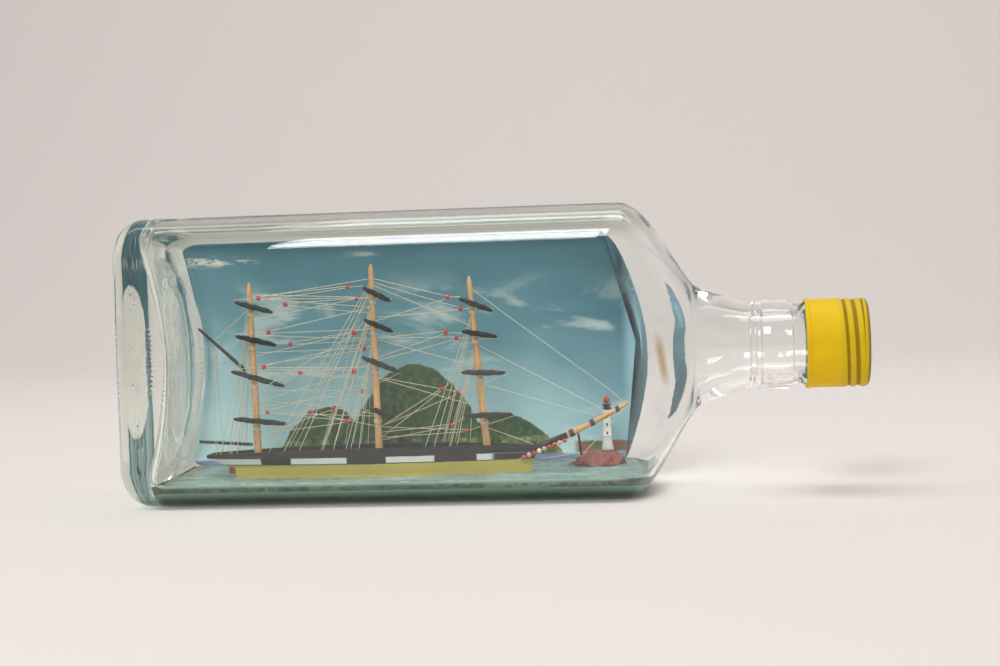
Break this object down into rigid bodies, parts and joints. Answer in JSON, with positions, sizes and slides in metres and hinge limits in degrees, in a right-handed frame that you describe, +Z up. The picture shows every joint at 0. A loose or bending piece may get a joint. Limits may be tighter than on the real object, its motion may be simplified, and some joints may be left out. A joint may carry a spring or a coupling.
{
  "type": "ship in a bottle",
  "caption": "Masted ship with furled sails and beaded rigging on a putty sea, inside a clear rectangular bottle that lies on its side, with a painted back wall and a screw cap.",
  "frame": {"origin": "middle of the bottle's box, on the surface that the bottle lies on", "axes": "+X from the bottle's base to its cap, +Y from the clear front wall to the painted back wall, +Z up as the bottle lies"},
  "size_m": [0.2546, 0.064, 0.099],
  "materials": {
    "clear_glass": "clear, faint green-grey in the thick base",
    "yellow_paint": "gloss, worn at the closed end",
    "liner_foam": "matt foam",
    "sea_putty": "satin, modelled by hand",
    "sky_paint": "brushed oil paint",
    "rock_putty": "matt, rough",
    "white_paint": "painted",
    "black_paint": "painted, half gloss",
    "red_bead": "gloss",
    "hull_paint": "painted in bands",
    "red_paint": "painted",
    "bare_wood": "bare, straight grain",
    "furled_sail": "dark paint over bound paper",
    "cream_thread": "waxed sewing thread",
    "brass_wire": "drawn wire"
  },
  "bodies": {
    "bottle": {"bobstays": "cream_thread", "bottle": "clear_glass", "bow_bead_line": "cream_thread", "bow_beads": "red_bead", "bowsprit": "black_paint", "bowsprit_bands": "black_paint", "bulwark": "black_paint", "dolphin_striker": "black_paint", "fore_beads": "red_bead", "fore_braces": "cream_thread", "fore_mast": "bare_wood", "fore_shrouds": "cream_thread", "fore_yard_1": "furled_sail", "fore_yard_2": "furled_sail", "fore_yard_3": "furled_sail", "fore_yard_4": "furled_sail", "gaff_lines": "cream_thread", "head_stays": "cream_thread", "headland_rock": "rock_putty", "hull": "hull_paint", "jibboom": "bare_wood", "lighthouse_gallery": "black_paint", "lighthouse_lamp": "red_bead", "lighthouse_tower": "white_paint", "main_beads": "red_bead", "main_braces": "cream_thread", "main_mast": "bare_wood", "main_shrouds": "cream_thread", "main_yard_1": "furled_sail", "main_yard_2": "furled_sail", "main_yard_3": "furled_sail", "main_yard_4": "furled_sail", "mast_staples": "brass_wire", "mast_stays": "cream_thread", "mast_wraps": "cream_thread", "mizzen_beads": "red_bead", "mizzen_braces": "cream_thread", "mizzen_mast": "bare_wood", "mizzen_shrouds": "cream_thread", "mizzen_yard_1": "furled_sail", "mizzen_yard_2": "furled_sail", "mizzen_yard_3": "furled_sail", "mizzen_yard_4": "furled_sail", "painted_backdrop": "sky_paint", "rudder": "red_paint", "sea": "sea_putty", "spanker_boom": "black_paint", "spanker_gaff": "black_paint"},
    "liner": {"cap_liner": "liner_foam"},
    "cap": {"screw_cap": "yellow_paint"}
  },
  "joints": [
    {"name": "cap_lift", "type": "slide", "parent": "bottle", "child": "liner", "axis": [1, 0, 0], "range_m": [0, 0.0064]},
    {"name": "cap_turn", "type": "hinge", "parent": "liner", "child": "cap", "pos_m": [0.1063, 0, 0.0495], "axis": [1, 0, 0], "range_deg": [0, 720]}
  ],
  "couplings": [
    {"joint": "cap_lift", "follows": "cap_turn", "m_per_rad": 0.00050929}
  ]
}
